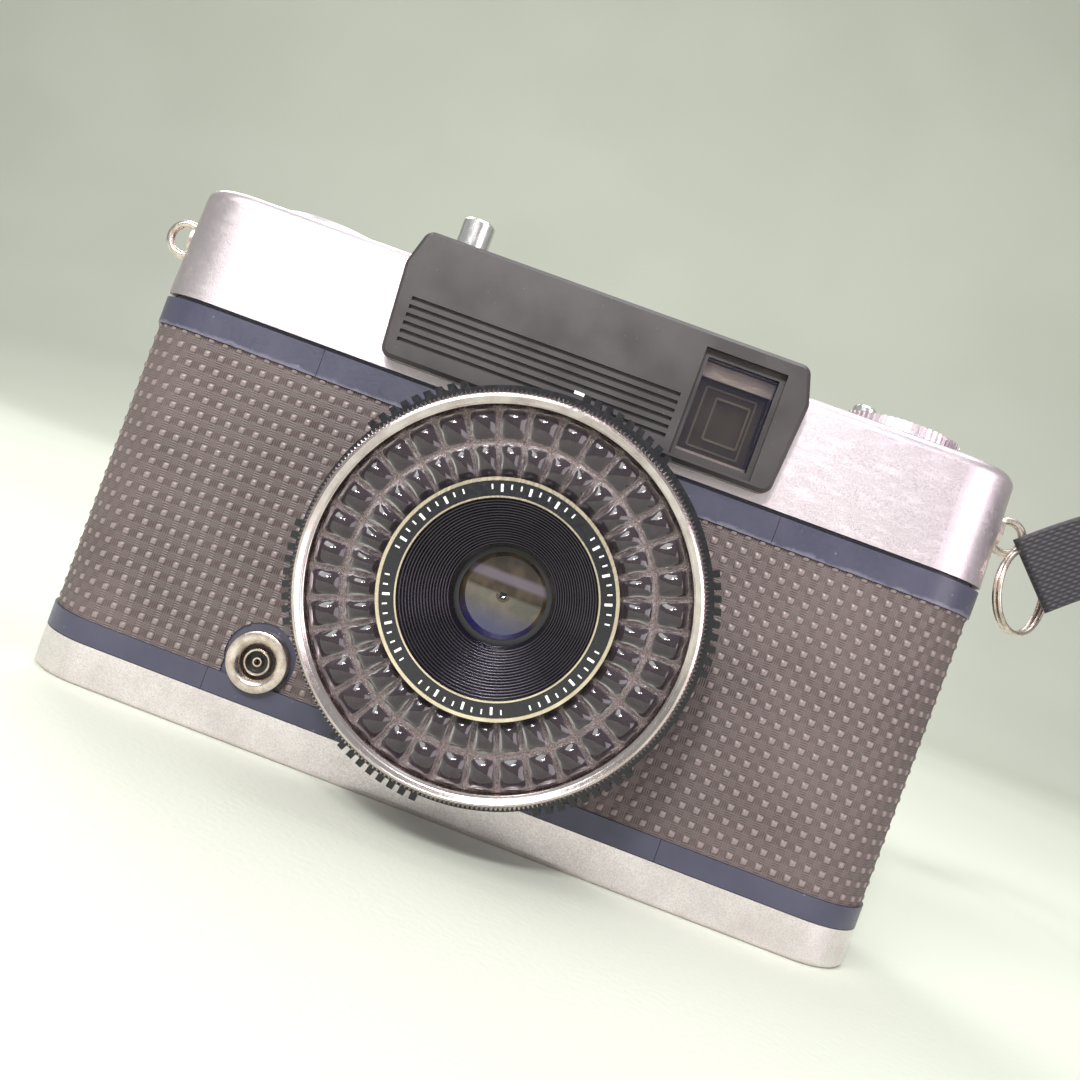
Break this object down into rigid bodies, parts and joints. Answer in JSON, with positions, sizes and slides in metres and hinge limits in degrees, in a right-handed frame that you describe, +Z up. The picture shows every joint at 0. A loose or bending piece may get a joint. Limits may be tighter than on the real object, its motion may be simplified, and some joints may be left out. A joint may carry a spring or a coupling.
{
  "type": "half frame camera",
  "caption": "Compact half frame film camera with a light meter cell ring round the lens, zone focusing, top shutter button, slide-off back and a wrist strap.",
  "frame": {"origin": "centre of the tripod socket mouth, in the underside of the base that the camera stands on", "axes": "+Z up, -Y out of the lens, +X to the right as seen from the front"},
  "size_m": [0.1687, 0.0893, 0.0748],
  "materials": {
    "satin_silver": "bead blasted satin",
    "slate_paint": "satin slate blue paint",
    "taupe_covering": "embossed vinyl in small squares",
    "grey_plastic": "satin moulded plastic",
    "black_paint": "black gloss paint",
    "matt_black": "matt black",
    "chrome": "bright chrome",
    "nickel": "tarnished nickel",
    "clear_plastic": "clear moulded plastic",
    "glass": "coated optical glass",
    "selenium": "brown selenium layer",
    "steel": "plain steel",
    "brass": "machined brass",
    "aluminium": "polished",
    "black_plastic": "black plastic",
    "webbing": "woven nylon"
  },
  "bodies": {
    "back": {"base_plate": "satin_silver", "tripod_bush": "steel", "back_shell": "slate_paint", "back_covering": "taupe_covering", "pressure_spring": "steel"},
    "pressure_plate": {"pressure_plate": "matt_black"},
    "latch": {"latch_key": "satin_silver"},
    "rewind_release": {"rewind_release": "steel"},
    "body": {"body_casting": "slate_paint", "front_panel": "slate_paint", "covering_left": "taupe_covering", "covering_right": "taupe_covering", "nameplate_bezel": "grey_plastic", "finder_window": "glass", "finder_tube": "matt_black", "eyepiece_frame": "black_plastic", "eyepiece_lens": "glass", "top_cover": "satin_silver", "end_screws": "steel", "strap_lugs": "nickel", "lens_barrel": "black_paint", "filter_ring": "chrome", "selenium_cell": "selenium", "cell_window": "clear_plastic", "name_ring": "black_paint", "cone_baffle": "matt_black", "shutter_plate": "steel", "rear_cell": "matt_black", "rear_lens": "glass", "flash_shell": "nickel", "flash_insulator": "black_plastic", "flash_contacts": "nickel", "release_spring": "steel", "button_collar": "satin_silver", "counter_bracket": "steel", "meter_movement": "black_plastic", "split_ring": "nickel", "strap": "webbing"},
    "aperture_ring": {"aperture_ring": "black_paint"},
    "focus_ring": {"focus_ring": "black_paint"},
    "front_group": {"front_cell": "matt_black", "front_lens": "glass", "middle_lens": "glass"},
    "shutter_blade_right": {"shutter_blade_right": "matt_black"},
    "shutter_blade_left": {"shutter_blade_left": "matt_black"},
    "aperture_blade_upper": {"aperture_blade_upper": "matt_black"},
    "aperture_blade_lower": {"aperture_blade_lower": "matt_black"},
    "release": {"shutter_button": "aluminium"},
    "advance": {"advance_wheel": "aluminium", "take_up_spool": "black_plastic", "advance_gear": "brass"},
    "sprocket": {"film_sprocket": "black_plastic", "sprocket_gear": "brass"},
    "counter": {"counter_dial": "satin_silver"},
    "rewind": {"rewind_knob": "satin_silver", "rewind_shaft": "steel"},
    "crank": {"rewind_crank": "aluminium"},
    "handle": {"crank_handle": "aluminium"},
    "needle": {"meter_needle": "aluminium"}
  },
  "joints": [
    {"name": "body_lift", "type": "slide", "parent": "back", "child": "body", "axis": [0, 0, 1], "range_m": [0, 0.06]},
    {"name": "pressure_plate_slide", "type": "slide", "parent": "back", "child": "pressure_plate", "axis": [0, 1, 0], "range_m": [0, 0.0006], "stiffness_N_per_m": 300, "springref_m": -0.002},
    {"name": "latch_turn", "type": "hinge", "parent": "back", "child": "latch", "pos_m": [-0.046, 0, 0.001], "axis": [0, 0, 1], "range_deg": [0, 90]},
    {"name": "rewind_release_push", "type": "slide", "parent": "back", "child": "rewind_release", "axis": [0, 0, 1], "range_m": [0, 0.0015], "stiffness_N_per_m": 200, "springref_m": -0.003},
    {"name": "aperture_ring_turn", "type": "hinge", "parent": "body", "child": "aperture_ring", "pos_m": [0, -0.019, 0.0302], "axis": [0, -1, 0], "range_deg": [0, 100]},
    {"name": "focus_ring_turn", "type": "hinge", "parent": "body", "child": "focus_ring", "pos_m": [0, -0.0241, 0.0302], "axis": [0, -1, 0], "range_deg": [-36, 36]},
    {"name": "front_group_slide", "type": "slide", "parent": "body", "child": "front_group", "axis": [0, -1, 0], "range_m": [-0.0003, 0.0003]},
    {"name": "shutter_blade_right_swing", "type": "hinge", "parent": "body", "child": "shutter_blade_right", "pos_m": [0.0105, -0.0166, 0.0322], "axis": [0, -1, 0], "range_deg": [0, 58]},
    {"name": "shutter_blade_left_swing", "type": "hinge", "parent": "body", "child": "shutter_blade_left", "pos_m": [-0.0105, -0.0169, 0.0282], "axis": [0, -1, 0], "range_deg": [0, 58]},
    {"name": "aperture_blade_upper_slide", "type": "slide", "parent": "body", "child": "aperture_blade_upper", "axis": [0, 0, 1], "range_m": [0, 0.0042]},
    {"name": "aperture_blade_lower_slide", "type": "slide", "parent": "body", "child": "aperture_blade_lower", "axis": [0, 0, -1], "range_m": [0, 0.0042]},
    {"name": "shutter_button_press", "type": "slide", "parent": "body", "child": "release", "axis": [0, 0, -1], "range_m": [0, 0.0022], "stiffness_N_per_m": 300, "springref_m": -0.004, "deforming": ["release_spring"]},
    {"name": "advance_wheel_spin", "type": "hinge", "parent": "body", "child": "advance", "pos_m": [-0.0443, 0.004, 0.054], "axis": [0, 0, 1], "continuous": true},
    {"name": "sprocket_spin", "type": "hinge", "parent": "body", "child": "sprocket", "pos_m": [-0.0289, 0.0015, 0.03], "axis": [0, 0, 1], "continuous": true},
    {"name": "counter_spin", "type": "hinge", "parent": "body", "child": "counter", "pos_m": [-0.04, -0.001, 0.067], "axis": [0, 0, 1], "continuous": true},
    {"name": "rewind_spin", "type": "hinge", "parent": "body", "child": "rewind", "pos_m": [0.0419, 0, 0.068], "axis": [0, 0, 1], "continuous": true},
    {"name": "crank_fold", "type": "hinge", "parent": "rewind", "child": "crank", "pos_m": [0.0471, 0, 0.06815], "axis": [0, 1, 0], "range_deg": [0, 150]},
    {"name": "crank_handle_spin", "type": "hinge", "parent": "crank", "child": "handle", "pos_m": [0.0365, 0, 0.0697], "axis": [0, 0, 1], "continuous": true},
    {"name": "needle_swing", "type": "hinge", "parent": "body", "child": "needle", "pos_m": [0, 0, 0.061], "axis": [0, 0, 1], "range_deg": [-20, 20], "stiffness_Nm_per_rad": 0.0005}
  ],
  "couplings": [
    {"joint": "front_group_slide", "follows": "focus_ring_turn", "m_per_rad": 0.000477},
    {"joint": "shutter_blade_left_swing", "follows": "shutter_blade_right_swing", "ratio": 1},
    {"joint": "aperture_blade_lower_slide", "follows": "aperture_blade_upper_slide", "ratio": 1},
    {"joint": "sprocket_spin", "follows": "advance_wheel_spin", "ratio": -1.1667},
    {"joint": "counter_spin", "follows": "advance_wheel_spin", "ratio": 0.031}
  ]
}
